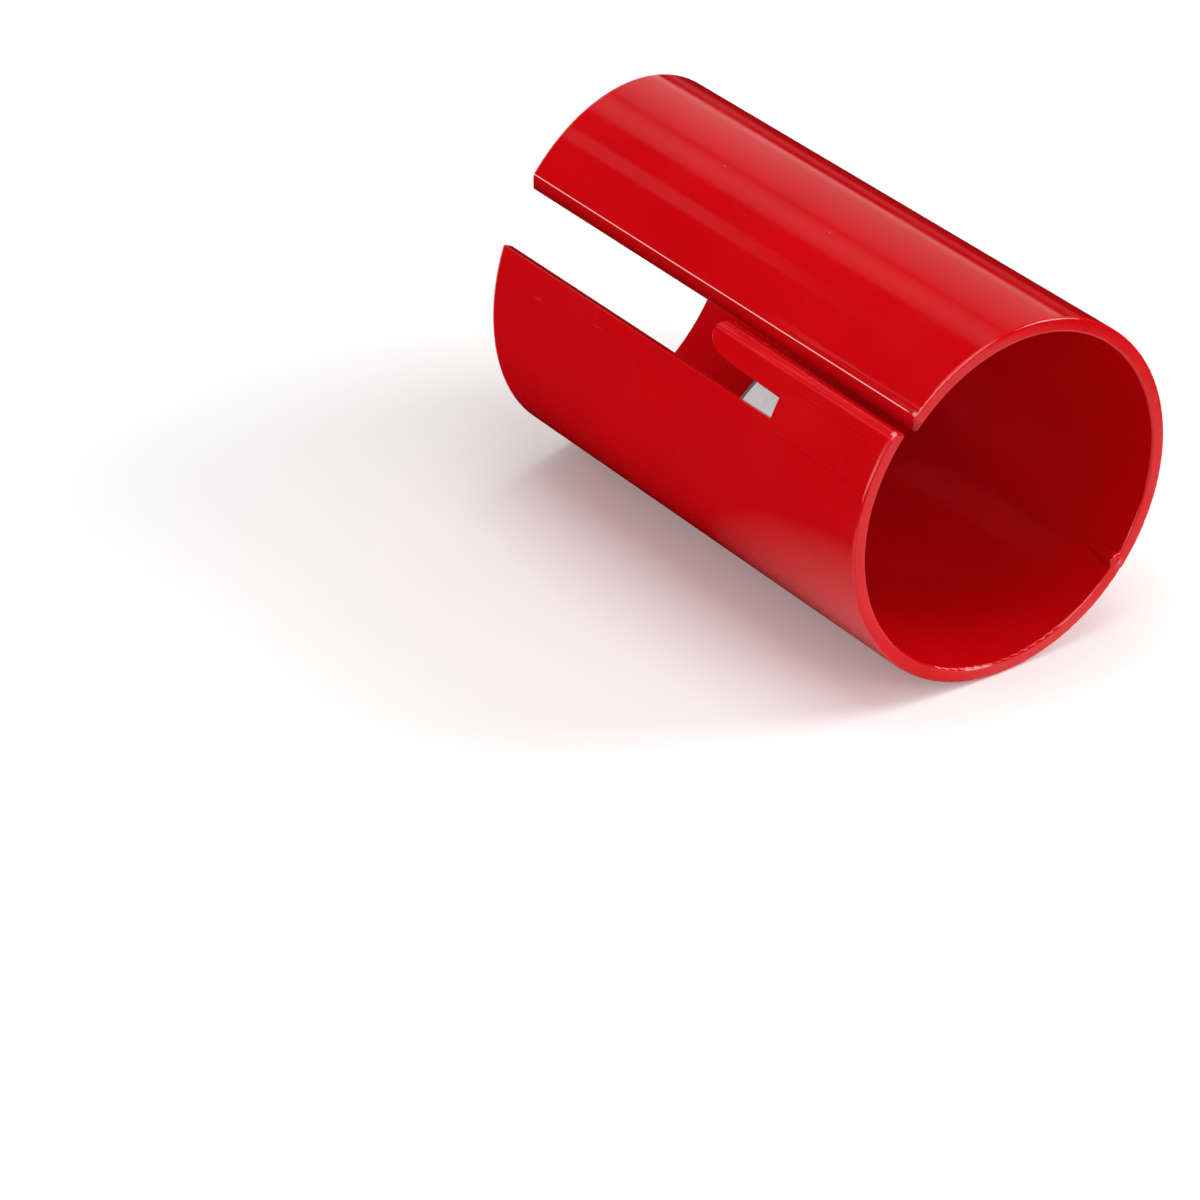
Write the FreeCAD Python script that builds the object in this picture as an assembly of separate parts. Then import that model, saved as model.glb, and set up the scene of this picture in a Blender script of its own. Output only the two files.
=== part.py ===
import FreeCAD, Part
import math
import os

# Gift wrap paper cutter: a springy C-shaped tube that snaps over a roll of gift wrap.
#
# The sheet leaves the roll through the wide mouth at the far end. A guide finger, moulded in one piece with
# the tube, holds the sheet down and leads it into a narrow channel in the wall. A small steel blade spans the
# end of that channel, so sliding the cutter along the roll towards its far end slits the sheet. The blade
# lies in a pocket in the wall, over two pegs, and a cover plate closes the pocket flush with the tube.
#
# Frame: X runs along the bore axis and out of the near end, Z is up, and the slit faces the front (-Y) and
# up. The origin is on the bore axis, in the plane of the near end. Angles turn about X, from +Y towards +Z.
# Lengths are in millimetres and angles in degrees.

# Tube
TUBE_DIAMETER = 63.0
WALL = 2.5
AXIS_LENGTH = 105.25  # from the near end to the far end, along the bore axis
FAR_END_SLOPE = 13.0  # the far end is cut back towards the front by this angle
EDGE_ROUND = 0.5  # near rim, and the upper lip's outer edge
TOE_ROUND = 0.45  # both sides of the slit, along the bore

# Near end of the upper lip, which runs a little further than the rest of the rim
LIP_END_SLOPE = 2.5  # the rim runs forward towards the lip by this angle
LIP_END_START = 16.0  # distance behind the bore axis where the slope starts
LIP_END_BEND = 150.0  # radius of the bend into the slope

# Slit: the upper lip's face stands upright, and the finger's side runs nearly parallel to it
UPPER_LIP_ANGLE = 133.0
SLIT_THROAT = 0.5  # narrowest gap between lip and finger, at the finger's tip
FINGER_LEAN = 0.6  # the slit widens from the finger's tip to the near end by this angle
FINGER_NOSE_ROUND = 1.85  # the rolled edge along the slit side of the finger

# Guide finger and paper channel
FINGER_LENGTH = 45.25  # from the near end to the tip
FINGER_WIDTH = 6.0
FINGER_FLARE = 1.8  # the finger leans into the channel by this angle, so that the channel narrows
TIP_CORNER_ROUND = 2.3  # the finger's tip on the slit side
TIP_CORNER_CREASE = 15.0  # angle at which that round meets the finger's nose
TIP_SWEEP_LENGTH = 6.5  # long quarter ellipse on the channel side of the tip
CHANNEL_WIDTH = 4.0  # at the finger's tip
CHANNEL_END = 25.25  # the channel is open from the far end to this distance from the near end
GUIDE_EDGE_ROUND = 0.35  # edges that the sheet slides over

# Blade
BLADE_BITE = 0.7  # how far the blade reaches into the wall on each side of the channel
BLADE_THICKNESS = 0.4
BLADE_LENGTH = 26.0  # from the middle of the cutting edge to the tail
BLADE_OVERHANG = 8.3  # from the channel's end to the middle of the cutting edge
BLADE_RAKE = 22.0  # lean of the cutting edge across the channel
BLADE_BEVEL_WIDTH = 0.9
BLADE_EDGE_LAND = 0.04  # flat left at the sharp edge
BLADE_DEPTH = 0.8  # from the outer surface down to the blade's outer face, at the channel's middle
BLADE_CLEARANCE = 0.06  # round the blade in its pocket and grooves
BLADE_CORNER_ROUND = 0.5

# Locating pegs in the pocket, which pass through the blade into the cover
PEG_DIAMETER = 1.6
PEG_CLEARANCE = 0.1  # radial, in the blade and in the cover
PEG_TO_CHANNEL = 5.8  # from the channel's end to the first peg
PEG_TO_TAIL = 2.8  # from the second peg to the blade's tail
PEG_REACH = 0.3  # above the blade's outer face
PEG_ROOT = 0.6  # how deep a peg starts in the wall that it is moulded with
PEG_HEAD_ROOM = 0.1  # between a peg and the roof of its socket in the cover

# Cover plate
COVER_OVERLAP = 3.5  # how far the cover runs on past the blade's tail
COVER_LEDGE = 1.05  # width of the ledge that carries the cover, on each side of the blade
COVER_CORNER_ROUND = 1.8
COVER_CLEARANCE = 0.03

# Gate pad, where the plastic entered the mould: on the near rim, inside, opposite the slit
GATE_ANGLE = 320.9
GATE_PAD_RADIUS = 1.2
GATE_PAD_LENGTH = 8.0
GATE_PAD_RISE = 0.2  # how far it stands into the bore at the rim

V = FreeCAD.Vector
X_AXIS = V(1, 0, 0)
OUTER_RADIUS = TUBE_DIAMETER / 2
BORE_RADIUS = OUTER_RADIUS - WALL
REACH = 2 * OUTER_RADIUS + AXIS_LENGTH  # further than any part of the tube
BACK_ANGLE = 340.0  # where the two halves of the tube meet while it is being built
NEAR = 0.01  # tolerance when edges are picked
UPRIGHT = 0.9  # cosine from which an edge counts as upright


# ---------------------------------------------------------------- directions and places


def radial(angle):
    """Unit vector that points out from the bore axis at an angle."""
    turn = math.radians(angle)
    return V(0, math.cos(turn), math.sin(turn))


def tangent(angle):
    """Unit vector along the wall, towards larger angles."""
    return radial(angle + 90)


def radius_of(point):
    """Distance of a point from the bore axis."""
    return math.hypot(point.y, point.z)


def angle_of(point):
    """Angle of a point about the bore axis, from 0 to 360."""
    return math.degrees(math.atan2(point.z, point.y)) % 360


def arc_degrees(length):
    """The angle that a length along the outer surface takes up."""
    return math.degrees(length / OUTER_RADIUS)


LIP_Y = OUTER_RADIUS * math.cos(math.radians(UPPER_LIP_ANGLE))
# The nose is a round that leaves the outer surface at NOSE_ANGLE. Its furthest point is the finger's edge,
# and stands SLIT_THROAT in front of the lip's face at the finger's tip.
NOSE_CENTRE_RADIUS = OUTER_RADIUS - FINGER_NOSE_ROUND
NOSE_ANGLE = math.degrees(
    math.atan2(FINGER_NOSE_ROUND, NOSE_CENTRE_RADIUS)
    + math.acos((LIP_Y - SLIT_THROAT) / math.hypot(NOSE_CENTRE_RADIUS, FINGER_NOSE_ROUND))
)
FINGER_EDGE = radial(NOSE_ANGLE) * NOSE_CENTRE_RADIUS - tangent(NOSE_ANGLE) * FINGER_NOSE_ROUND
CHANNEL_ANGLE = angle_of(FINGER_EDGE) + arc_degrees(FINGER_WIDTH + CHANNEL_WIDTH / 2)
BLADE_WIDTH = CHANNEL_WIDTH + 2 * BLADE_BITE
BLADE_FACE = OUTER_RADIUS - BLADE_DEPTH  # height of the blade's outer face over the bore axis
POCKET_FLOOR = BLADE_FACE - BLADE_THICKNESS
EDGE_MIDDLE = -CHANNEL_END - BLADE_OVERHANG  # x of the middle of the cutting edge
BLADE_TAIL = EDGE_MIDDLE + BLADE_LENGTH
PEG_PLACES = [-CHANNEL_END + PEG_TO_CHANNEL, BLADE_TAIL - PEG_TO_TAIL]
COVER_WIDTH = BLADE_WIDTH + 2 * COVER_LEDGE
COVER_END = BLADE_TAIL + COVER_OVERLAP


# ---------------------------------------------------------------- building helpers


def prism(points, direction):
    """Straight solid on a closed polygon."""
    outline = Part.makePolygon(list(points) + [points[0]])
    return Part.Face(outline).extrude(direction)


def fan(first_angle, last_angle):
    """Solid between two half planes through the bore axis, less than 270 degrees apart."""
    third = (last_angle - first_angle) / 3
    corners = [radial(first_angle + third * step) * REACH for step in range(4)]
    base = [V(-REACH, point.y, point.z) for point in [V(0, 0, 0)] + corners]
    return prism(base, X_AXIS * 2 * REACH)


def edges_where(shape, test):
    """Edges whose sample points all pass a test."""
    found = []
    for edge in shape.Edges:
        first, last = edge.ParameterRange
        samples = [edge.valueAt(first + (last - first) * share) for share in (0.0, 0.3, 0.7, 1.0)]
        if all(test(point) for point in samples):
            found.append(edge)
    return found


def at_near_end(point):
    return point.x > -NEAR


def at_back(point):
    return abs(angle_of(point) - BACK_ANGLE) < NEAR


def at_lip(point):
    return abs(point.y - LIP_Y) < NEAR


def on_radius(point, radius):
    return abs(radius_of(point) - radius) < NEAR


def along_tube(edge):
    """Whether an edge runs along the tube for most of its length."""
    return edge.BoundBox.XLength > AXIS_LENGTH / 2


def is_bend_line(edge):
    """Whether an edge only marks where the bend in the near end starts or stops."""
    return edge.BoundBox.YLength < NEAR and edge.CenterOfMass.y > LIP_Y + NEAR


def round_near_end(half, more_edges):
    """Round the whole outline of a half's near end, with any further edges that meet it."""
    outline = [
        edge
        for edge in edges_where(half, at_near_end)
        if not edges_where(edge, at_back) and not is_bend_line(edge)
    ]
    return half.makeFillet(EDGE_ROUND, outline + more_edges)


# The plan is the view straight down onto the channel: x along the tube and a distance across it, towards the
# lower wall. Heights are over the bore axis.


def plan_point(x, across, height):
    return V(x, 0, 0) + tangent(CHANNEL_ANGLE) * across + radial(CHANNEL_ANGLE) * height


def plan_prism(outline, low, high):
    """Solid on an outline of (x, across) pairs, between two heights."""
    return prism([plan_point(x, across, low) for x, across in outline], radial(CHANNEL_ANGLE) * (high - low))


def plan_box(x_low, x_high, width, low, high):
    """Block centred on the channel."""
    half = width / 2
    return plan_prism([(x_low, -half), (x_high, -half), (x_high, half), (x_low, half)], low, high)


def plan_peg(x, diameter, low, high):
    """Upright round peg on the channel's centre line."""
    return Part.makeCylinder(diameter / 2, high - low, plan_point(x, 0, low), radial(CHANNEL_ANGLE))


def round_upright_edges(block, x, radius):
    """Round the upright edges of a plan block that stand at x."""
    upright = edges_where(block, lambda point: abs(point.x - x) < NEAR)
    upright = [edge for edge in upright if abs(edge.tangentAt(0).dot(radial(CHANNEL_ANGLE))) > UPRIGHT]
    return block.makeFillet(radius, upright)


# ---------------------------------------------------------------- tube body


def tube_blank():
    """Plain tube with its far end cut back towards the front, and its near end still too long."""
    outside = Part.makeCylinder(OUTER_RADIUS, 2 * REACH, V(-REACH, 0, 0), X_AXIS)
    bore = Part.makeCylinder(BORE_RADIUS, 2 * REACH, V(-REACH, 0, 0), X_AXIS)
    rise = REACH * math.tan(math.radians(FAR_END_SLOPE))
    offcut = prism(
        [
            V(-2 * REACH, -REACH, -REACH),
            V(-2 * REACH, REACH, -REACH),
            V(-AXIS_LENGTH - rise, REACH, -REACH),
            V(-AXIS_LENGTH + rise, -REACH, -REACH),
        ],
        V(0, 0, 2 * REACH),
    )
    return outside.cut(bore).cut(offcut)


def beyond_lip_end():
    """Solid beyond the upper half's near end: square to the tube, then bent forward towards the lip."""
    slope = math.radians(LIP_END_SLOPE)
    bend_start = V(0, LIP_END_START + LIP_END_BEND * math.tan(slope / 2), -REACH)

    def on_bend(turn):
        return bend_start + V(1 - math.cos(turn), -math.sin(turn), 0) * LIP_END_BEND

    bend = Part.Arc(bend_start, on_bend(slope / 2), on_bend(slope))
    corners = [
        on_bend(slope),
        on_bend(slope) + V(math.sin(slope), -math.cos(slope), 0) * REACH,
        V(2 * REACH, -REACH, -REACH),
        V(2 * REACH, REACH, -REACH),
        V(0, REACH, -REACH),
        bend_start,
    ]
    straights = [Part.LineSegment(first, last) for first, last in zip(corners, corners[1:])]
    outline = Part.Wire([curve.toShape() for curve in [bend] + straights])
    return Part.Face(outline).extrude(V(0, 0, 2 * REACH))


def upper_half(blank):
    """The half that ends in the upper lip, with its lip and near rim rounded."""
    in_front_of_lip = prism(
        [V(-REACH, LIP_Y, 0), V(-REACH, LIP_Y, REACH), V(-REACH, -REACH, REACH), V(-REACH, -REACH, 0)],
        X_AXIS * 2 * REACH,
    )
    half = blank.cut(in_front_of_lip).cut(fan(180, BACK_ANGLE)).cut(beyond_lip_end())
    toe = edges_where(half, lambda point: at_lip(point) and on_radius(point, BORE_RADIUS))
    half = half.makeFillet(TOE_ROUND, toe)
    brow = edges_where(half, lambda point: at_lip(point) and on_radius(point, OUTER_RADIUS))
    return round_near_end(half, brow)


def lower_half(blank):
    """The half that carries the guide finger, with the finger's nose and the near rim rounded."""
    lean = math.tan(math.radians(FINGER_LEAN))
    start = V(-REACH, 0, 0) - tangent(NOSE_ANGLE) * (REACH - FINGER_LENGTH) * lean
    side = start + FINGER_EDGE
    above_finger = prism(
        [
            side - radial(NOSE_ANGLE) * OUTER_RADIUS,
            side + radial(NOSE_ANGLE) * REACH,
            side + radial(NOSE_ANGLE) * REACH - tangent(NOSE_ANGLE) * REACH,
            side - radial(NOSE_ANGLE) * OUTER_RADIUS - tangent(NOSE_ANGLE) * REACH,
        ],
        (X_AXIS + tangent(NOSE_ANGLE) * lean) * 2 * REACH,
    )
    beyond_near_end = Part.makeBox(2 * REACH, 2 * REACH, 2 * REACH, V(0, -REACH, -REACH))
    half = blank.cut(fan(BACK_ANGLE - 360, 90)).cut(above_finger).cut(beyond_near_end)
    for radius, rounding in ((OUTER_RADIUS, FINGER_NOSE_ROUND), (BORE_RADIUS, TOE_ROUND)):
        slit_edge = [
            edge
            for edge in edges_where(half, lambda point: on_radius(point, radius) and not at_back(point))
            if along_tube(edge)
        ]
        half = half.makeFillet(rounding, slit_edge)
    return round_near_end(half, [])


def mouth_cutter():
    """Solid that opens the wall from the far end to the channel's end, and leaves the finger standing."""
    low = BORE_RADIUS / 2  # inside the bore, well clear of the wall
    up = radial(CHANNEL_ANGLE)
    to_slit = -tangent(CHANNEL_ANGLE)
    corner_turn = math.radians(90 - TIP_CORNER_CREASE)
    nose_extreme = NOSE_CENTRE_RADIUS * math.sin(math.radians(CHANNEL_ANGLE - NOSE_ANGLE)) + FINGER_NOSE_ROUND
    apex = TIP_CORNER_ROUND * math.sin(corner_turn) - nose_extreme

    def on_corner(turn):
        centre = plan_point(-FINGER_LENGTH + TIP_CORNER_ROUND, apex, low)
        return centre + (to_slit * math.sin(turn) - X_AXIS * math.cos(turn)) * TIP_CORNER_ROUND

    tip = on_corner(0)
    corner_end = on_corner(corner_turn)
    corner = Part.Arc(tip, on_corner(corner_turn / 2), corner_end)
    finger_side = -CHANNEL_WIDTH / 2
    flare = math.tan(math.radians(FINGER_FLARE))
    sweep_stop = -FINGER_LENGTH + TIP_SWEEP_LENGTH
    ellipse = Part.Ellipse(tip, plan_point(sweep_stop, finger_side, low), plan_point(sweep_stop, apex, low))
    sweep = Part.ArcOfEllipse(ellipse, 0, math.atan2(finger_side - apex, TIP_SWEEP_LENGTH * flare))
    narrowing = (FINGER_LENGTH - TIP_SWEEP_LENGTH - CHANNEL_END) * flare
    corners = [
        corner_end,
        corner_end + (X_AXIS * math.sin(corner_turn) + to_slit * math.cos(corner_turn)) * REACH,
        plan_point(REACH, -REACH, low),
        plan_point(-REACH, -REACH, low),
        plan_point(-REACH, CHANNEL_WIDTH / 2, low),
        plan_point(-CHANNEL_END, CHANNEL_WIDTH / 2, low),
        plan_point(-CHANNEL_END, finger_side + narrowing, low),
        sweep.EndPoint,
    ]
    straights = [Part.LineSegment(first, last) for first, last in zip(corners, corners[1:])]
    outline = Part.Wire(Part.__sortEdges__([curve.toShape() for curve in straights + [sweep, corner]]))
    return Part.Face(outline).extrude(up * (REACH - low))


def guide_edges(half):
    """Edges of the mouth's side walls, along the outside and along the bore."""
    up = radial(CHANNEL_ANGLE)
    found = {}
    for face in half.Faces:
        normal = face.normalAt(*face.Surface.parameter(face.CenterOfMass))
        stands_upright = abs(normal.dot(up)) < 1 - UPRIGHT and abs(normal.x) < 1 - NEAR
        if face.BoundBox.XMax < -CHANNEL_END + NEAR and stands_upright:
            for edge in face.Edges:
                run = edge.valueAt(edge.LastParameter) - edge.valueAt(edge.FirstParameter)
                if abs(run.dot(up)) < UPRIGHT * run.Length:
                    found[edge.hashCode()] = edge
    return list(found.values())


def pocket_cutters():
    """The cover's seat, and under it the blade's recess, which runs on as grooves beside the channel."""
    gap = BLADE_CLEARANCE
    groove_end = EDGE_MIDDLE - BLADE_WIDTH / 2 * math.tan(math.radians(BLADE_RAKE)) - gap
    width = BLADE_WIDTH + 2 * gap
    grooves = plan_box(groove_end, -CHANNEL_END, width, POCKET_FLOOR, BLADE_FACE + gap)
    recess = plan_box(-CHANNEL_END, BLADE_TAIL + gap, width, POCKET_FLOOR, BLADE_FACE + gap)
    seat_end = COVER_END + COVER_CLEARANCE
    seat = plan_box(-CHANNEL_END, seat_end, COVER_WIDTH + 2 * COVER_CLEARANCE, BLADE_FACE, REACH)
    seat = round_upright_edges(seat, seat_end, COVER_CORNER_ROUND + COVER_CLEARANCE)
    return [grooves, recess, seat]


def gate_pad():
    """Round pad on the near rim that sinks back into the bore's wall."""
    middle = radial(GATE_ANGLE) * (BORE_RADIUS - GATE_PAD_RISE + GATE_PAD_RADIUS)
    foot = Part.Face(Part.Wire(Part.makeCircle(GATE_PAD_RADIUS, middle, X_AXIS)))
    return foot.extrude(X_AXIS * -GATE_PAD_LENGTH + radial(GATE_ANGLE) * GATE_PAD_RISE)


def make_tube_body():
    """One-piece moulding: tube, upper lip, guide finger, channel, blade pocket, pegs and gate pad."""
    blank = tube_blank()
    finger_half = lower_half(blank).cut(mouth_cutter())
    finger_half = finger_half.makeFillet(GUIDE_EDGE_ROUND, guide_edges(finger_half))
    body = finger_half.fuse(upper_half(blank)).removeSplitter()
    body = body.cut(pocket_cutters())
    pegs = [plan_peg(x, PEG_DIAMETER, POCKET_FLOOR - PEG_ROOT, BLADE_FACE + PEG_REACH) for x in PEG_PLACES]
    return body.fuse(pegs + [gate_pad()])


# ---------------------------------------------------------------- blade and cover


def make_blade():
    """Flat steel blade with a raked edge, a bevel on its outer face and two holes for the pegs."""
    half = BLADE_WIDTH / 2
    rake = math.tan(math.radians(BLADE_RAKE))
    outline = [
        (EDGE_MIDDLE + half * rake, -half),
        (BLADE_TAIL, -half),
        (BLADE_TAIL, half),
        (EDGE_MIDDLE - half * rake, half),
    ]
    blade = plan_prism(outline, POCKET_FLOOR, BLADE_FACE)
    blade = round_upright_edges(blade, BLADE_TAIL, BLADE_CORNER_ROUND)
    back = BLADE_BEVEL_WIDTH / math.cos(math.radians(BLADE_RAKE))
    over = BLADE_WIDTH
    slant = (BLADE_THICKNESS - BLADE_EDGE_LAND) / back
    start = EDGE_MIDDLE + over * rake
    wedge = prism(
        [
            plan_point(start - over, -over, POCKET_FLOOR + BLADE_EDGE_LAND - over * slant),
            plan_point(start + back + over, -over, BLADE_FACE + over * slant),
            plan_point(start - over, -over, BLADE_FACE + over * slant),
        ],
        (tangent(CHANNEL_ANGLE) - X_AXIS * rake) * 2 * over,
    )
    hole = PEG_DIAMETER + 2 * PEG_CLEARANCE
    holes = [plan_peg(x, hole, POCKET_FLOOR - WALL, BLADE_FACE + WALL) for x in PEG_PLACES]
    return blade.cut([wedge] + holes)


def make_blade_cover():
    """Thin plate that closes the pocket: flat below, and round above to match the tube."""
    plate = plan_box(-CHANNEL_END, COVER_END, COVER_WIDTH, BLADE_FACE, OUTER_RADIUS + WALL)
    plate = round_upright_edges(plate, COVER_END, COVER_CORNER_ROUND)
    tube_outside = Part.makeCylinder(OUTER_RADIUS, CHANNEL_END + WALL, V(-CHANNEL_END - WALL, 0, 0), X_AXIS)
    socket = PEG_DIAMETER + 2 * PEG_CLEARANCE
    socket_roof = BLADE_FACE + PEG_REACH + PEG_HEAD_ROOM
    sockets = [plan_peg(x, socket, BLADE_FACE - WALL, socket_roof) for x in PEG_PLACES]
    return plate.common(tube_outside).cut(sockets)


NODES = {
    "tube_body": make_tube_body,
    "blade": make_blade,
    "blade_cover": make_blade_cover,
}

os.makedirs("parts", exist_ok=True)
for node, make in NODES.items():
    shape = make()
    shape.exportStep("parts/" + node + ".step")
    print(node, "solids", len(shape.Solids), "valid", shape.isValid(), "volume", round(shape.Volume, 1))
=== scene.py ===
import functools
import logging
import math
from collections.abc import Sequence
from dataclasses import dataclass, field
from enum import Enum

import bmesh
import bpy
from mathutils import Euler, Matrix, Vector


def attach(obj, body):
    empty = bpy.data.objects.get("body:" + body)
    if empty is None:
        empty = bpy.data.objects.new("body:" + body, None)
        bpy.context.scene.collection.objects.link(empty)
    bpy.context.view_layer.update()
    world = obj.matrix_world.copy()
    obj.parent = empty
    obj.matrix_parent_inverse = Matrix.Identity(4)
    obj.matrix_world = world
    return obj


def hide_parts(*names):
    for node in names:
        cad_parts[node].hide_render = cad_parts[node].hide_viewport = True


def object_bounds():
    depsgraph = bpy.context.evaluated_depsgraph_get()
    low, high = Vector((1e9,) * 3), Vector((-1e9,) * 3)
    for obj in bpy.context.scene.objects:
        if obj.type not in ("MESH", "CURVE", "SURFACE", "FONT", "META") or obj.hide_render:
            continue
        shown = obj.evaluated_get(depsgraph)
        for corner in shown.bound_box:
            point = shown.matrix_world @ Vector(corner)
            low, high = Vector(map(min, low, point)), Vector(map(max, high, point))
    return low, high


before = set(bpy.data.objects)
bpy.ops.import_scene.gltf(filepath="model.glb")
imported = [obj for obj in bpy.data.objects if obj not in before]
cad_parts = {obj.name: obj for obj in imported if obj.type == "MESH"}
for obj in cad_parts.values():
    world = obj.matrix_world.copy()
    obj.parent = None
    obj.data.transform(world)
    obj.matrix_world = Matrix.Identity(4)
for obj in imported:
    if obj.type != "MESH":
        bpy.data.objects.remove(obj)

log = logging.getLogger("wrap_cutter")

Colour = tuple[float, float, float]
Place = tuple[float, float, float]
Span = tuple[float, float]
Band = tuple[float, float, float]
Socket = bpy.types.NodeSocket
Sockets = dict[str, Socket]

LEAD_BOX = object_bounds()
MM = 0.001
IN_MM = (1.0 / MM, 1.0 / MM, 1.0 / MM)
WHITE = (1.0, 1.0, 1.0)
WELD_DISTANCE = 0.001 * MM

# The tube's sizes are in millimetres. Angles round it are in degrees, from +Y towards +Z.
OUTER_RADIUS = 31.5
BORE_RADIUS = 29.0
AXIS_LENGTH = 105.25
FAR_END_SLOPE = 13.0
BLADE_ANGLE = 152.78
GATE_ANGLE = 320.9


# ---------------------------------------------------------------- node helpers


class Tree:
    """Short way to place and join the nodes of one shader tree."""

    def __init__(self, tree: bpy.types.NodeTree) -> None:
        """Take over a tree and empty it.

        Args:
            tree: The node tree of a material, a world or a group.
        """
        self.tree = tree
        tree.nodes.clear()

    def add(self, kind: str, **settings: object) -> bpy.types.Node:
        """Add a node.

        Args:
            kind: The node's type name, without its ShaderNode prefix.
            settings: Properties to set on it.

        Returns:
            The new node.
        """
        prefix = "" if kind.startswith("Node") else "ShaderNode"
        node = self.tree.nodes.new(prefix + kind)
        for name, value in settings.items():
            setattr(node, name, value)
        return node

    def join(self, source: object, target: Socket) -> None:
        """Feed a socket from another socket, or set it to a constant.

        Args:
            source: An output socket, a number, a vector or a colour.
            target: The input socket.
        """
        if isinstance(source, Socket):
            self.tree.links.new(source, target)
        elif target.type == "RGBA" and len(source) == 3:
            target.default_value = (*source, 1.0)
        else:
            target.default_value = source

    def math(self, operation: str, *values: object, clamp: bool = False) -> Socket:
        """Add a math node.

        Args:
            operation: The operation's name.
            values: Its one to three inputs, sockets or numbers.
            clamp: Whether the result is held between 0 and 1.

        Returns:
            The result's socket.
        """
        node = self.add("Math", operation=operation, use_clamp=clamp)
        for value, target in zip(values, node.inputs):
            self.join(value, target)
        return node.outputs[0]

    def vector(self, operation: str, *values: object) -> bpy.types.Node:
        """Add a vector math node.

        Args:
            operation: The operation's name.
            values: Its inputs, sockets or vectors.

        Returns:
            The node, since some operations answer with a number and others with a vector.
        """
        node = self.add("VectorMath", operation=operation)
        for value, target in zip(values, node.inputs):
            self.join(value, target)
        return node

    def ramp(
        self, value: object, low: object, high: object, start: object = 0.0, end: object = 1.0
    ) -> Socket:
        """Map a value smoothly from one range to another, held at both ends.

        Args:
            value: The socket to map.
            low: The input that gives start.
            high: The input that gives end.
            start: The output at low.
            end: The output at high.

        Returns:
            The mapped value's socket.
        """
        node = self.add("MapRange", interpolation_type="SMOOTHSTEP")
        for source, target in zip((value, low, high, start, end), node.inputs):
            self.join(source, target)
        return node.outputs[0]

    def bump(self, value: object, centre: float, half_width: float, edge: float) -> Socket:
        """Give 1 near a value and 0 away from it.

        Args:
            value: The socket to test.
            centre: Where the result is 1.
            half_width: Distance from the centre at which it has fallen to 0.
            edge: Width of the fall.

        Returns:
            The share's socket.
        """
        away = self.math("ABSOLUTE", self.math("SUBTRACT", value, centre))
        return self.ramp(away, half_width - edge, half_width, 1.0, 0.0)

    def product(self, *values: object) -> Socket:
        """Multiply several values.

        Args:
            values: Sockets or numbers, at least two.

        Returns:
            The product's socket.
        """
        return functools.reduce(lambda first, second: self.math("MULTIPLY", first, second), values)

    def total(self, *values: object) -> Socket:
        """Add several values.

        Args:
            values: Sockets or numbers, at least two.

        Returns:
            The sum's socket.
        """
        return functools.reduce(lambda first, second: self.math("ADD", first, second), values)

    def split(self, vector: Socket) -> tuple[Socket, Socket, Socket]:
        """Take a vector apart.

        Args:
            vector: The vector's socket.

        Returns:
            The sockets of its three parts.
        """
        node = self.add("SeparateXYZ")
        self.join(vector, node.inputs[0])
        return tuple(node.outputs)

    def choose(self, share: object, first: object, second: object) -> Socket:
        """Mix two numbers.

        Args:
            share: How much of the second number counts.
            first: The first number, or its socket.
            second: The second number, or its socket.

        Returns:
            The mixed number's socket.
        """
        node = self.add("Mix", data_type="FLOAT")
        numbers = [socket for socket in node.inputs if socket.type == "VALUE"]
        for source, target in zip((share, first, second), numbers):
            self.join(source, target)
        return node.outputs[0]

    def blend(self, share: object, first: object, second: object) -> Socket:
        """Mix two colours.

        Args:
            share: How much of the second colour shows.
            first: The first colour, or its socket.
            second: The second colour, or its socket.

        Returns:
            The mixed colour's socket.
        """
        node = self.add("Mix", data_type="RGBA")
        colours = [socket for socket in node.inputs if socket.type == "RGBA"]
        self.join(share, node.inputs["Factor"])
        self.join(first, colours[0])
        self.join(second, colours[1])
        return [socket for socket in node.outputs if socket.type == "RGBA"][0]

    def noise(self, place: Socket, scale: float, detail: float, stretch: Place = (1.0, 1.0, 1.0)) -> Socket:
        """Add a noise texture over a stretched place vector.

        Args:
            place: The place vector, in millimetres.
            scale: Noise cells per millimetre.
            detail: Octaves of finer noise.
            stretch: How much finer the noise is along each axis.

        Returns:
            The noise value's socket, mostly from 0.3 to 0.7.
        """
        node = self.add("TexNoise")
        self.join(self.vector("MULTIPLY", place, stretch).outputs[0], node.inputs["Vector"])
        node.inputs["Scale"].default_value = scale
        node.inputs["Detail"].default_value = detail
        return node.outputs["Fac"]

    def effect(self, group: bpy.types.NodeTree, **values: float) -> bpy.types.Node:
        """Add a shared effect.

        Args:
            group: The effect's node group.
            values: Constants for its inputs, by name.

        Returns:
            The group node.
        """
        node = self.add("Group", node_tree=group)
        for name, value in values.items():
            node.inputs[name].default_value = value
        return node

    def show(self, surface: Socket) -> None:
        """Let a shader show as the surface of the tree's material.

        Args:
            surface: The shader's output.
        """
        self.join(surface, self.add("OutputMaterial").inputs["Surface"])

    def relief(self, height: Socket, shader: bpy.types.Node) -> None:
        """Give a shader the relief of a height.

        Args:
            height: The height's socket, in millimetres.
            shader: The shader's node.
        """
        bump = self.add("Bump")
        bump.inputs["Distance"].default_value = MM
        self.join(height, bump.inputs["Height"])
        self.join(bump.outputs[0], shader.inputs["Normal"])


def new_material(name: str) -> tuple[bpy.types.Material, Tree]:
    """Start a material.

    Args:
        name: The material's name.

    Returns:
        The material and its empty tree.
    """
    material = bpy.data.materials.new(name)
    material.use_nodes = True
    return material, Tree(material.node_tree)


# ---------------------------------------------------------------- shared effects


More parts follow.
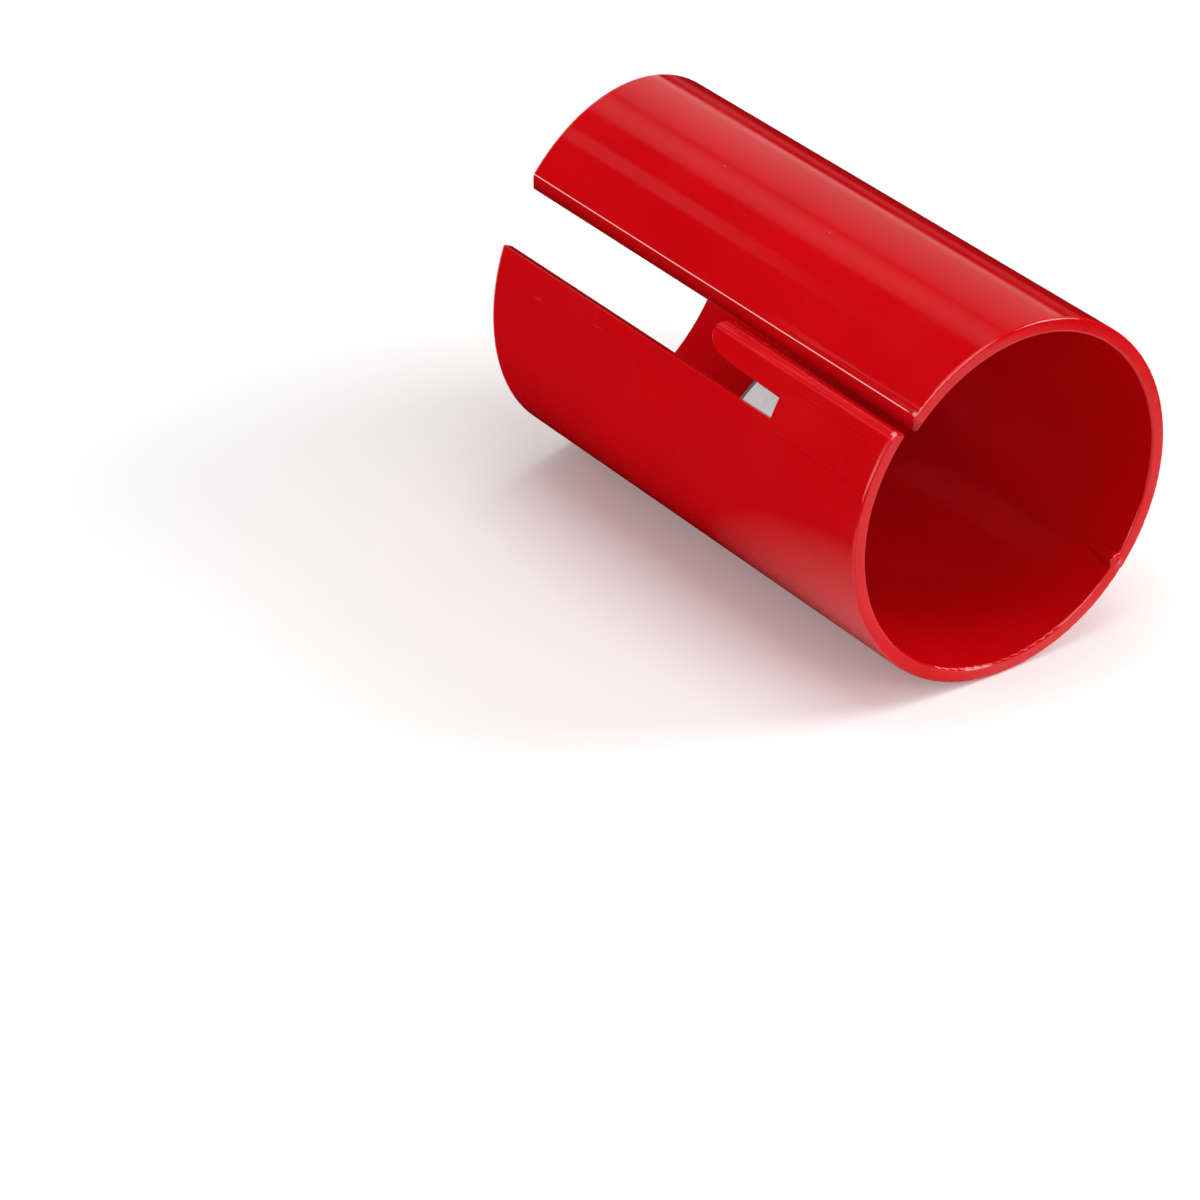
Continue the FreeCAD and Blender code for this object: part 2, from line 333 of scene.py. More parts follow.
def new_effect(name: str, inputs: dict[str, float], outputs: Sequence[str]) -> tuple[Tree, Sockets, Sockets]:
    """Start a shader node group with number sockets.

    Args:
        name: The group's name.
        inputs: Its inputs and their usual values.
        outputs: Its outputs.

    Returns:
        The group's tree, its inputs as seen from inside, and its outputs as seen from inside.
    """
    group = bpy.data.node_groups.new(name, "ShaderNodeTree")
    for label, value in inputs.items():
        group.interface.new_socket(label, in_out="INPUT", socket_type="NodeSocketFloat").default_value = value
    for label in outputs:
        group.interface.new_socket(label, in_out="OUTPUT", socket_type="NodeSocketFloat")
    tree = Tree(group)
    source = tree.add("NodeGroupInput")
    result = tree.add("NodeGroupOutput")
    entries = {label: source.outputs[label] for label in inputs}
    exits = {label: result.inputs[label] for label in outputs}
    return tree, entries, exits


def place_in_mm(tree: Tree) -> Socket:
    """Give the shaded point's place on its own piece, in millimetres.

    Args:
        tree: The tree that needs it.

    Returns:
        The place vector's socket.
    """
    return tree.vector("MULTIPLY", tree.add("TexCoord").outputs["Object"], IN_MM).outputs[0]


@functools.cache
def tube_plan() -> bpy.types.NodeTree:
    """Place on the tube: along it, out from its axis and in from the far rim, and the angle round it.

    Returns:
        The shared node group.
    """
    tree, _, exits = new_effect("tube_plan", {}, ("Along", "Round", "Radius", "Inboard"))
    along, across, up = tree.split(place_in_mm(tree))
    turn = tree.math("DEGREES", tree.math("ARCTAN2", up, across))
    tree.join(along, exits["Along"])
    tree.join(tree.math("FLOORED_MODULO", turn, 360.0), exits["Round"])
    radius = tree.math("SQRT", tree.total(tree.product(across, across), tree.product(up, up)))
    tree.join(radius, exits["Radius"])
    lean = math.tan(math.radians(FAR_END_SLOPE))
    tree.join(tree.total(along, AXIS_LENGTH, tree.product(across, lean)), exits["Inboard"])
    return tree.tree


@functools.cache
def moulding_waves() -> bpy.types.NodeTree:
    """Height, in millimetres, of the long shallow waves and fine flow streaks of a moulded skin.

    Returns:
        The shared node group.
    """
    tree, entries, exits = new_effect("moulding_waves", {"Waves": 0.004, "Streaks": 0.0004}, ("Height",))
    place = place_in_mm(tree)
    waves = tree.noise(place, 0.05, 1.0, (0.5, 1.0, 1.0))
    streaks = tree.noise(place, 1.1, 1.0, (0.04, 1.0, 1.0))
    height = tree.total(tree.product(waves, entries["Waves"]), tree.product(streaks, entries["Streaks"]))
    tree.join(height, exits["Height"])
    return tree.tree


@functools.cache
def handling_marks() -> bpy.types.NodeTree:
    """Hair-thin scratches in sparse patches, and the dull haze of handling.

    Returns:
        The shared node group.
    """
    usual = {"Scratches": 1.0, "Haze": 1.0}
    tree, entries, exits = new_effect("handling_marks", usual, ("Scratch", "Dullness"))
    place = place_in_mm(tree)
    lines = []
    for seed, stretch in enumerate(((0.008, 0.50, 0.10), (0.20, 0.010, 0.03))):
        moved = tree.vector("ADD", place, (17.0 * seed, 31.0 * seed, 7.0 * seed)).outputs[0]
        line = tree.bump(tree.noise(moved, 0.55, 0.0, stretch), 0.5, 0.0013, 0.0011)
        patch = tree.ramp(tree.noise(moved, 0.13, 1.0), 0.62, 0.69)
        lines.append(tree.product(line, patch))
    scratch = tree.product(tree.total(*lines), entries["Scratches"])
    haze = tree.ramp(tree.noise(place, 0.06, 3.0), 0.42, 0.68)
    tree.join(scratch, exits["Scratch"])
    tree.join(tree.product(haze, entries["Haze"]), exits["Dullness"])
    return tree.tree


@functools.cache
def dust_specks() -> bpy.types.NodeTree:
    """Pale pinpoint specks of dust, only a few on the whole tube.

    Returns:
        The shared node group.
    """
    tree, entries, exits = new_effect("dust_specks", {"Size": 0.07, "Share": 0.12}, ("Cover",))
    cells_per_mm = 0.28
    cells = tree.add("TexVoronoi")
    tree.join(place_in_mm(tree), cells.inputs["Vector"])
    cells.inputs["Scale"].default_value = cells_per_mm
    near = tree.math("DIVIDE", cells.outputs["Distance"], cells_per_mm)
    chance = tree.add("SeparateColor")
    tree.join(cells.outputs["Color"], chance.inputs[0])
    size = tree.product(entries["Size"], tree.total(chance.outputs[1], 0.5))
    dot = tree.ramp(near, tree.product(size, 0.6), size, 1.0, 0.0)
    kept = tree.math("LESS_THAN", chance.outputs[0], entries["Share"])
    tree.join(tree.product(dot, kept), exits["Cover"])
    return tree.tree


@functools.cache
def grind_lines() -> bpy.types.NodeTree:
    """Fine parallel lines of a grinding wheel: height in millimetres, and a shade from 0 to 1.

    Returns:
        The shared node group.
    """
    usual = {"Turn": 0.0, "Depth": 0.0006, "Pitch": 9.0}
    tree, entries, exits = new_effect("grind_lines", usual, ("Height", "Shade"))
    turned = tree.add("VectorRotate", rotation_type="Z_AXIS")
    levelled = tree.add("Mapping")
    tree.join(place_in_mm(tree), levelled.inputs["Vector"])
    levelled.inputs["Rotation"].default_value = (math.radians(90.0 - BLADE_ANGLE), 0.0, 0.0)
    tree.join(levelled.outputs[0], turned.inputs["Vector"])
    tree.join(tree.math("RADIANS", entries["Turn"]), turned.inputs["Angle"])
    drawn = tree.vector("MULTIPLY", turned.outputs[0], (0.03, 1.0, 0.2)).outputs[0]
    node = tree.add("TexNoise")
    tree.join(drawn, node.inputs["Vector"])
    tree.join(entries["Pitch"], node.inputs["Scale"])
    node.inputs["Detail"].default_value = 3.0
    lines = node.outputs["Fac"]
    tree.join(tree.product(lines, entries["Depth"]), exits["Height"])
    tree.join(tree.ramp(lines, 0.3, 0.7), exits["Shade"])
    return tree.tree


# ---------------------------------------------------------------- finishes


class Relief(Enum):
    """Which of the mould's traces, and which painted shade and highlights, a piece of plastic carries."""

    SKIN = "the moulded skin alone"
    # The edges called worn here carry painted highlights, and the slit carries painted shade.
    TUBE = "the skin, with the parting lines and the worn edges of the long tube"


@dataclass(frozen=True)
class TubeTracesAndPaintedLight:
    """Traces of the mould and of use on the long tube, and the shade and highlights painted into its colour.

    A band is given by its middle, half its width and the width of its soft edges. Bands are measured round
    the tube, in degrees, apart from the two runs along it, in millimetres.

    Attributes:
        parting: Band where the halves of the mould met.
        parting_height: How far it stands up, in millimetres.
        gate_line: Band that runs out from the gate on the near rim.
        gate_line_depth: How deep it lies, in millimetres.
        streaks: Band of the rubbed streaks beside the lip's edge.
        streaks_along: Where they start and where they are full, along the tube.
        streak_height: How far they stand up, in millimetres.
        streak_share: How much of their paler colour shows.
        slit: The slit's two sides, in degrees round the tube.
        slit_shade_share: How dark the painted shade on the slit's sides gets.
        slit_shade_colour: Colour of the painted shade deep in the slit.
        nose: Band along the crest of the finger's nose.
        nose_highlight_shares: How strong the painted highlight on the nose is, and how much more in the
            streaks.
        nose_highlight_colour: Colour of the painted highlight on the nose.
        lip_edge: Band along the lip's edge on the slit.
        lip_highlight_share: How strong the painted highlight along that edge is.
        rim_highlight_share: How strong the painted highlight along the far rim is.
        edge_highlight_colour: Colour of the painted highlights on those edges.
        nose_tip: Band of the finger's corner at the near rim.
        nose_tip_run: Its run along the tube.
        nose_tip_highlight_share: How strong the painted highlight there is.
        lip_tip: Band of the lip's corner at the near rim.
        lip_tip_run: Its run along the tube.
        lip_tip_highlight_share: How strong the painted highlight there is.
        tip_highlight_colour: Colour of the painted highlights on the two corners.
    """

    parting: Band = (206.5, 0.16, 0.12)
    parting_height: float = 0.006
    gate_line: Band = (GATE_ANGLE, 0.22, 0.18)
    gate_line_depth: float = 0.02
    streaks: Band = (131.2, 1.6, 1.0)
    streaks_along: Span = (-45.0, -20.0)
    streak_height: float = 0.0015
    streak_share: float = 0.07
    slit: Span = (133.0, 138.0)
    slit_shade_share: float = 0.55
    slit_shade_colour: Colour = (0.05, 0.0, 0.0)
    nose: Band = (140.8, 1.7, 1.0)
    nose_highlight_shares: Span = (0.30, 0.6)
    nose_highlight_colour: Colour = (0.86, 0.022, 0.03)
    lip_edge: Band = (132.80, 0.20, 0.16)
    lip_highlight_share: float = 0.85
    rim_highlight_share: float = 0.45
    edge_highlight_colour: Colour = (1.0, 0.70, 0.67)
    nose_tip: Band = (140.0, 1.1, 0.8)
    nose_tip_run: Band = (-0.45, 0.55, 0.40)
    nose_tip_highlight_share: float = 0.60
    lip_tip: Band = (132.4, 0.9, 0.7)
    lip_tip_run: Band = (1.10, 0.50, 0.35)
    lip_tip_highlight_share: float = 0.45
    tip_highlight_colour: Colour = (1.0, 0.55, 0.52)

    def add_to(self, tree: Tree, height: Socket, colour: Socket, pale: Colour) -> tuple[Socket, Socket]:
        """Add the parting lines, the rubbed streaks, the painted shade in the slit, and the painted
        highlights on the finger's nose, the lip's edge, the far rim and the two corners at the near rim.

        Args:
            tree: The material's tree.
            height: Height of the surface so far, in millimetres.
            colour: Its colour so far.
            pale: Colour of the streaks rubbed into it.

        Returns:
            The new height and colour.
        """
        plan = tree.effect(tube_plan()).outputs
        fine = tree.ramp(tree.noise(place_in_mm(tree), 2.4, 1.0, (0.03, 1.0, 1.0)), 0.40, 0.66)
        outside = tree.ramp(plan["Radius"], OUTER_RADIUS - 0.6, OUTER_RADIUS - 0.2)
        parting = tree.product(tree.bump(plan["Round"], *self.parting), outside)
        gate_line = tree.product(
            tree.bump(plan["Round"], *self.gate_line),
            tree.ramp(plan["Along"], -0.3, 0.2),
        )
        rubbed = tree.product(
            fine,
            tree.bump(plan["Round"], *self.streaks),
            outside,
            tree.ramp(plan["Along"], *self.streaks_along),
        )
        height = tree.total(
            height,
            tree.product(parting, self.parting_height),
            tree.product(gate_line, -self.gate_line_depth),
            tree.product(rubbed, self.streak_height),
        )
        # Painted shade: the slit's sides get darker towards the bore.
        colour = tree.blend(self.painted_slit_shade(tree, plan), colour, self.slit_shade_colour)
        colour = tree.blend(tree.product(rubbed, self.streak_share), colour, pale)
        # Painted highlight: a paler red along the crest of the finger's nose.
        colour = tree.blend(self.painted_nose_highlight(tree, plan, fine), colour, self.nose_highlight_colour)
        # Painted highlights: pale lines along the lip's edge and the far rim.
        colour = tree.blend(self.painted_edge_highlights(tree, plan), colour, self.edge_highlight_colour)
        # Painted highlights: pale spots on the slit's two corners at the near rim.
        return height, tree.blend(self.painted_tip_highlights(tree, plan), colour, self.tip_highlight_colour)

    def painted_slit_shade(self, tree: Tree, plan: bpy.types.NodeOutputs) -> Socket:
        """Give the share of painted shade on the slit's sides, growing from its mouth down to the bore.

        Args:
            tree: The material's tree.
            plan: Place on the tube.

        Returns:
            The share's socket.
        """
        first, last = self.slit
        return tree.product(
            tree.ramp(plan["Round"], first, first + 0.5),
            tree.ramp(plan["Round"], last - 0.5, last, 1.0, 0.0),
            tree.ramp(plan["Radius"], BORE_RADIUS + 0.4, OUTER_RADIUS - 0.1, self.slit_shade_share, 0.0),
        )

    def painted_nose_highlight(self, tree: Tree, plan: bpy.types.NodeOutputs, fine: Socket) -> Socket:
        """Give the share of painted highlight along the crest of the finger's nose.

        Args:
            tree: The material's tree.
            plan: Place on the tube.
            fine: Fine streaks along the tube, from 0 to 1.

        Returns:
            The share's socket.
        """
        everywhere, in_streaks = self.nose_highlight_shares
        return tree.product(
            tree.bump(plan["Round"], *self.nose),
            tree.ramp(plan["Radius"], OUTER_RADIUS - 0.9, OUTER_RADIUS - 0.5),
            tree.total(everywhere, tree.product(fine, in_streaks)),
        )

    def painted_edge_highlights(self, tree: Tree, plan: bpy.types.NodeOutputs) -> Socket:
        """Give the share of painted highlight along the lip's edge and the far rim.

        Args:
            tree: The material's tree.
            plan: Place on the tube.

        Returns:
            The share's socket.
        """
        lip = tree.product(
            tree.bump(plan["Round"], *self.lip_edge),
            tree.ramp(plan["Radius"], OUTER_RADIUS - 0.35, OUTER_RADIUS - 0.15),
            tree.ramp(plan["Along"], -1.5, 0.5, self.lip_highlight_share, 0.0),
        )
        rim = tree.product(
            tree.ramp(plan["Inboard"], 0.08, 0.30, self.rim_highlight_share, 0.0),
            tree.ramp(plan["Radius"], OUTER_RADIUS - 0.3, OUTER_RADIUS - 0.1),
        )
        return tree.math("MAXIMUM", lip, rim)

    def painted_tip_highlights(self, tree: Tree, plan: bpy.types.NodeOutputs) -> Socket:
        """Give the share of painted highlight on the slit's two corners at the near rim.

        Args:
            tree: The material's tree.
            plan: Place on the tube.

        Returns:
            The share's socket.
        """
        finger = tree.product(
            tree.bump(plan["Round"], *self.nose_tip),
            tree.bump(plan["Along"], *self.nose_tip_run),
            self.nose_tip_highlight_share,
        )
        lip = tree.product(
            tree.bump(plan["Round"], *self.lip_tip),
            tree.bump(plan["Along"], *self.lip_tip_run),
            self.lip_tip_highlight_share,
        )
        skin = tree.ramp(plan["Radius"], OUTER_RADIUS - 0.9, OUTER_RADIUS - 0.3)
        return tree.product(tree.total(finger, lip), skin)


@dataclass(frozen=True)
class GlossPlastic:
    """Opaque injection-moulded plastic with a polished surface.

    Attributes:
        name: The material's name.
        colour: Colour of the plastic.
        relief: Which traces of the mould, and which painted shade and highlights, it carries.
        clouds: Share of the colour in its darkest and in its lightest clouds.
        roughness: Roughness of the clean surface.
        index: Index of refraction of the surface.
        haze_roughness: Roughness that the haze adds.
        scratch_roughness: Roughness that a scratch adds.
        scratch_share: How much of a scratch's paler colour shows.
        dust_roughness: Roughness that a speck of dust adds.
        dust: Colour of the dust on it.
    """

    name: str
    colour: Colour
    relief: Relief = Relief.SKIN
    clouds: Span = (0.96, 1.03)
    roughness: float = 0.07
    index: float = 1.5
    haze_roughness: float = 0.05
    scratch_roughness: float = 0.12
    scratch_share: float = 0.06
    dust_roughness: float = 0.4
    dust: Colour = (0.80, 0.62, 0.60)

    def make(self) -> bpy.types.Material:
        """Build the material.

        Returns:
            The new material.
        """
        material, tree = new_material(self.name)
        shader = tree.add("BsdfPrincipled")
        shader.inputs["IOR"].default_value = self.index
        height = tree.effect(moulding_waves()).outputs["Height"]
        scratch, haze = tree.effect(handling_marks()).outputs
        specks = tree.effect(dust_specks()).outputs["Cover"]
        colour = self.tinted(tree)
        if self.relief is Relief.TUBE:
            height, colour = TubeTracesAndPaintedLight().add_to(tree, height, colour, self.paler(0.25, 0.8))
        colour = tree.blend(tree.product(scratch, self.scratch_share), colour, self.paler(0.45, 0.5))
        tree.join(tree.blend(specks, colour, self.dust), shader.inputs["Base Color"])
        dull = tree.total(
            self.roughness,
            tree.product(haze, self.haze_roughness),
            tree.product(scratch, self.scratch_roughness),
            tree.product(specks, self.dust_roughness),
        )
        tree.join(dull, shader.inputs["Roughness"])
        tree.relief(height, shader)
        tree.show(shader.outputs["BSDF"])
        return material

    def paler(self, white: float, share: float) -> Colour:
        """Mix the plastic's colour with white.

        Args:
            white: Share of white.
            share: Share of the plastic's colour.

        Returns:
            The mixed colour.
        """
        red, green, blue = (min(1.0, white + share * part) for part in self.colour)
        return red, green, blue

    def tinted(self, tree: Tree) -> Socket:
        """Cloud the colour slightly, as uneven pigment does.

        Args:
            tree: The material's tree.

        Returns:
            The colour's socket.
        """
        clouds = tree.ramp(tree.noise(place_in_mm(tree), 0.09, 3.0, (0.5, 1.0, 1.0)), 0.3, 0.7)
        dark, light = (self.paler(0.0, share) for share in self.clouds)
        return tree.blend(clouds, dark, light)


class Grind(Enum):
    """Which way the grinding lines run, in degrees from the blade's length."""

    LENGTHWISE = 0.0
    ACROSS_THE_EDGE = 78.0


@dataclass(frozen=True)
class GroundSteel:
    """Thin cold-rolled steel with fine grinding lines and a ground cutting edge.

    Attributes:
        name: The material's name.
        colour: Colour of the clean metal.
        flat: Direction of the lines on the flat.
        edge: Direction of the lines on the bevel.
        roughness: Roughness between the lines.
        line_roughness: Roughness that the lines add.
        bevel_roughness: Roughness that the ground bevel adds.
        dark_share: Share of the colour between the lines.
        stain: Colour of the light stains on it.
        stain_share: How much of that colour shows.
    """

    name: str
    colour: Colour
    flat: Grind = Grind.LENGTHWISE
    edge: Grind = Grind.ACROSS_THE_EDGE
    roughness: float = 0.5
    line_roughness: float = 0.06
    bevel_roughness: float = -0.1
    dark_share: float = 0.93
    stain: Colour = (0.62, 0.58, 0.53)
    stain_share: float = 0.15

    def make(self) -> bpy.types.Material:
        """Build the material.

        Returns:
            The new material.
        """
        material, tree = new_material(self.name)
        shader = tree.add("BsdfPrincipled")
        shader.inputs["Metallic"].default_value = 1.0
        flat = tree.effect(grind_lines(), Turn=self.flat.value, Depth=0.0005, Pitch=7.0)
        edge = tree.effect(grind_lines(), Turn=self.edge.value, Depth=0.0012, Pitch=5.0)
        lean = math.radians(BLADE_ANGLE)
        outward = (0.0, math.cos(lean), math.sin(lean))
        facing = tree.vector("DOT_PRODUCT", tree.add("NewGeometry").outputs["True Normal"], outward)
        ground = tree.ramp(tree.math("ABSOLUTE", facing.outputs["Value"]), 0.975, 0.995, 1.0, 0.0)
        shade = tree.total(
            tree.product(flat.outputs["Shade"], tree.math("SUBTRACT", 1.0, ground)),
            tree.product(edge.outputs["Shade"], ground),
        )
        stains = tree.ramp(tree.noise(place_in_mm(tree), 0.5, 3.0), 0.52, 0.72)
        dark = tuple(self.dark_share * part for part in self.colour)
        colour = tree.blend(shade, dark, self.colour)
        colour = tree.blend(tree.product(stains, self.stain_share), colour, self.stain)
        tree.join(colour, shader.inputs["Base Color"])
        dull = tree.total(
            self.roughness,
            tree.product(shade, self.line_roughness),
            tree.product(ground, self.bevel_roughness),
        )
        tree.join(dull, shader.inputs["Roughness"])
        height = tree.total(
            tree.product(flat.outputs["Height"], tree.math("SUBTRACT", 1.0, ground)),
            tree.product(edge.outputs["Height"], ground),
        )
        tree.relief(height, shader)
        tree.show(shader.outputs["BSDF"])
        return material


# ---------------------------------------------------------------- the cutter


@dataclass
class MouldedPiece:
    """A plastic piece, shown by a copy of its solid with the normals of the true curved skin.

    Attributes:
        node: Name of the solid.
        plastic: Its finish.
        crease: Faces that meet at less than this angle, in degrees, shade as one.
        skin_depth: How far a corner of the curved skin may lie from the true cylinder, in metres.
        skin_lean: How much a face of it may lean along the tube, as a sine.
    """

    node: str
    plastic: GlossPlastic
    crease: float = 36.0
    skin_depth: float = 0.004 * MM
    skin_lean: float = 0.02

    def build(self) -> None:
        """Copy the solid, give it its skin and let it stand for the solid."""
        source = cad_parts[self.node]
        mesh = source.data.copy()
        mesh.name = self.node + "_skin"
        self.weld(mesh)
        self.smooth(mesh)
        mesh.materials.clear()
        mesh.materials.append(self.plastic.make())
        skin = bpy.data.objects.new(self.node + "_skin", mesh)
        skin.matrix_world = source.matrix_world
        bpy.context.scene.collection.objects.link(skin)
        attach(skin, "root")
        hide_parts(self.node)
        log.info("%s has %d faces", skin.name, len(mesh.polygons))

    @staticmethod
    def weld(mesh: bpy.types.Mesh) -> None:
        """Join the corners that lie in the same place.

        Args:
            mesh: The mesh to weld.
        """
        work = bmesh.new()
        work.from_mesh(mesh)
        bmesh.ops.remove_doubles(work, verts=work.verts, dist=WELD_DISTANCE)
        work.to_mesh(mesh)
        work.free()

    def is_skin(self, mesh: bpy.types.Mesh, face: bpy.types.MeshPolygon) -> bool:
        """Tell whether a face lies on the tube's outside or on its bore.

        Args:
            mesh: The mesh that owns the face.
            face: The face.

        Returns:
            True if all its corners lie on one of the two cylinders and it faces along the radius.
        """
        radii = [mesh.vertices[corner].co.yz.length for corner in face.vertices]
        for size in (OUTER_RADIUS * MM, BORE_RADIUS * MM):
            if max(abs(radius - size) for radius in radii) < self.skin_depth:
                return abs(face.normal.x) < self.skin_lean
        return False

    def smooth(self, mesh: bpy.types.Mesh) -> None:
        """Set the normal at each corner of each face.

        It lies along the radius on the two cylinders. Elsewhere it is the mean of the faces that run on.

        Args:
            mesh: The welded mesh.
        """
        mesh.shade_smooth()
        around: list[list[bpy.types.MeshPolygon]] = [[] for _ in mesh.vertices]
        for face in mesh.polygons:
            for corner in face.vertices:
                around[corner].append(face)
        skin = {face.index for face in mesh.polygons if self.is_skin(mesh, face)}
        least = math.cos(math.radians(self.crease))
        normals = []
        for face in mesh.polygons:
            for corner in face.vertices:
                running_on = [other for other in around[corner] if other.normal.dot(face.normal) > least]
                curved = [other for other in running_on if other.index in skin]
                if curved:
                    spoke = mesh.vertices[corner].co.copy()
                    spoke.x = 0.0
                    normal = spoke if spoke.dot(curved[0].normal) > 0.0 else -spoke
                else:
                    normal = sum((other.normal * other.area for other in running_on), Vector())
                normals.append(normal.normalized())
        mesh.normals_split_custom_set(normals)


@dataclass
class GateVestige:
    """The stub that the mould's gate left in the near rim: a small disc with a pip, and a tail in the bore.

    Attributes:
        plastic: Its finish.
        radius: Distance of its own axis from the tube's, in millimetres.
        profile: Its outline from the pip to the tail, as places along the tube and radii, in millimetres.
        sides: Number of faces round it.
    """

    plastic: GlossPlastic
    radius: float = BORE_RADIUS + 0.6
    profile: tuple[tuple[float, float], ...] = (
        (0.22, 0.0),
        (0.20, 0.20),
        (0.08, 0.34),
        (0.05, 0.95),
        (0.02, 1.16),
        (-0.08, 1.33),
        (-0.24, 1.42),
        (-0.50, 1.45),
        (-1.70, 1.40),
        (-3.50, 1.15),
        (-6.00, 0.85),
        (-8.50, 0.55),
    )
    sides: int = 32

    def build(self) -> None:
        """Turn the outline round the stub's axis."""
        mesh = bpy.data.meshes.new("gate_vestige")
        shape = bmesh.new()
        turn = math.radians(GATE_ANGLE)
        centre = Vector((0.0, math.cos(turn), math.sin(turn))) * self.radius
        line = [shape.verts.new((centre + Vector((along, reach, 0.0))) * MM) for along, reach in self.profile]
        edges = [shape.edges.new(pair) for pair in zip(line, line[1:])]
        bmesh.ops.spin(
            shape,
            geom=line + edges,
            cent=centre * MM,
            axis=(1.0, 0.0, 0.0),
            angle=math.tau,
            steps=self.sides,
            use_merge=True,
        )
        bmesh.ops.remove_doubles(shape, verts=shape.verts, dist=WELD_DISTANCE)
        bmesh.ops.recalc_face_normals(shape, faces=shape.faces)
        shape.to_mesh(mesh)
        shape.free()
        mesh.shade_smooth()
        mesh.materials.append(self.plastic.make())
        stub = bpy.data.objects.new("gate_vestige", mesh)
        bpy.context.scene.collection.objects.link(stub)
        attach(stub, "root")
        log.info("gate vestige has %d faces", len(mesh.polygons))


@dataclass
class Blade:
    """The small steel blade.

    Attributes:
        steel: Its finish.
    """

    steel: GroundSteel = GroundSteel("ground_steel", (0.95, 0.95, 0.955))

    def build(self) -> None:
        """Dress the blade's own solid."""
        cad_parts["blade"].material_slots[0].material = self.steel.make()
        log.info("blade dressed in %s", self.steel.name)


@dataclass
class Cutter:
    """The moulded tube, its blade and the blade's cover.

    Attributes:
        colour: Colour of the plastic.
    """

    colour: Colour = (0.60, 0.002, 0.005)

    def build(self) -> None:
        """Dress the three pieces and add the gate's vestige."""
        MouldedPiece("tube_body", GlossPlastic("red_tube_plastic", self.colour, Relief.TUBE)).build()
        MouldedPiece("blade_cover", GlossPlastic("red_cover_plastic", self.colour)).build()
        GateVestige(GlossPlastic("red_stub_plastic", self.colour)).build()
        Blade().build()


# ---------------------------------------------------------------- studio


def direction(azimuth: float, elevation: float) -> Vector:
    """Give the unit vector towards a place in the surroundings.

    Args:
        azimuth: Degrees from +X towards +Y.
        elevation: Degrees above the horizon.

    Returns:
        The vector.
    """
    turn = math.radians(azimuth)
    rise = math.radians(elevation)
    return Vector((math.cos(turn) * math.cos(rise), math.sin(turn) * math.cos(rise), math.sin(rise)))


@dataclass
class Softbox:
    """Rectangular lamp that looks at the object.

    Attributes:
        name: The lamp's name.
        azimuth: Direction of the lamp from the object, in degrees from +X towards +Y.
        elevation: Height of the lamp over the horizon, in degrees.
        distance: Distance from the object, in metres.
        width: Width across, in metres.
        height: Height, in metres.
        radiance: Brightness of its face, where 1 is white.
    """

    name: str
    azimuth: float
    elevation: float
    distance: float
    width: float
    height: float
    radiance: float

    def build(self, target: Vector) -> None:
        """Hang the lamp.

        Args:
            target: The point that it faces.
        """
        data = bpy.data.lights.new(self.name, "AREA")
        data.shape = "RECTANGLE"
        data.size = self.width
        data.size_y = self.height
        data.energy = self.radiance * math.pi * self.width * self.height
        lamp = bpy.data.objects.new(self.name, data)
        bpy.context.scene.collection.objects.link(lamp)
        away = direction(self.azimuth, self.elevation)
        lamp.location = target + away * self.distance
        lamp.rotation_euler = (-away).to_track_quat("-Z", "Y").to_euler()
        log.info("lamp %s hung", self.name)


@dataclass(frozen=True)
class Panel:
    """Bright soft-edged panel of the surroundings, far off, which only reflections show.

    Attributes:
        azimuth: Direction of its middle, in degrees from +X towards +Y.
        elevation: Height of its middle over the horizon, in degrees.
        half_width: Half its width, in degrees.
        half_height: Half its height, in degrees.
        radiance: Its brightness, where 1 is white.
    """

    azimuth: float
    elevation: float
    half_width: float
    half_height: float
    radiance: float

    def shine(self, tree: Tree, ray: Socket) -> Socket:
        """Add the nodes that give the panel's light.

        Args:
            tree: The world's tree.
            ray: The direction that is looked in.

        Returns:
            The brightness socket.
        """
        middle = direction(self.azimuth, self.elevation)
        side = direction(self.azimuth + 90.0, 0.0)
        top = middle.cross(side)
        ahead = tree.vector("DOT_PRODUCT", ray, middle).outputs["Value"]
        front = tree.math("GREATER_THAN", ahead, 0.05)
        shares = [front]
        for axis, half in ((side, self.half_width), (top, self.half_height)):
            shift = tree.math("DIVIDE", tree.vector("DOT_PRODUCT", ray, axis).outputs["Value"], ahead)
            edge = math.tan(math.radians(half))
            shares.append(tree.bump(shift, 0.0, edge, 0.25 * edge))
        return tree.product(*shares, self.radiance)


@dataclass
class Viewpoint:
    """The camera.

    Attributes:
        place: Where it stands, in metres.
        heading: Direction in plan, in degrees from +Y towards -X.
        tilt: How far it looks down, in degrees.
        lens: Focal length in millimetres, on a sensor 36 mm wide.
    """

    place: Place = (0.554912, -0.47622, 0.420202)
    heading: float = 54.4422
    tilt: float = 31.0262
    lens: float = 160.416

    def build(self) -> None:
        """Set up the camera and make it the scene's own."""
        data = bpy.data.cameras.new("viewpoint")
        data.lens = self.lens
        data.sensor_width = 36.0
        camera = bpy.data.objects.new("viewpoint", data)
        camera.location = self.place
        camera.rotation_euler = Euler((math.radians(90.0 - self.tilt), 0.0, math.radians(self.heading)))
        bpy.context.scene.collection.objects.link(camera)
        bpy.context.scene.camera = camera
        log.info("camera set")


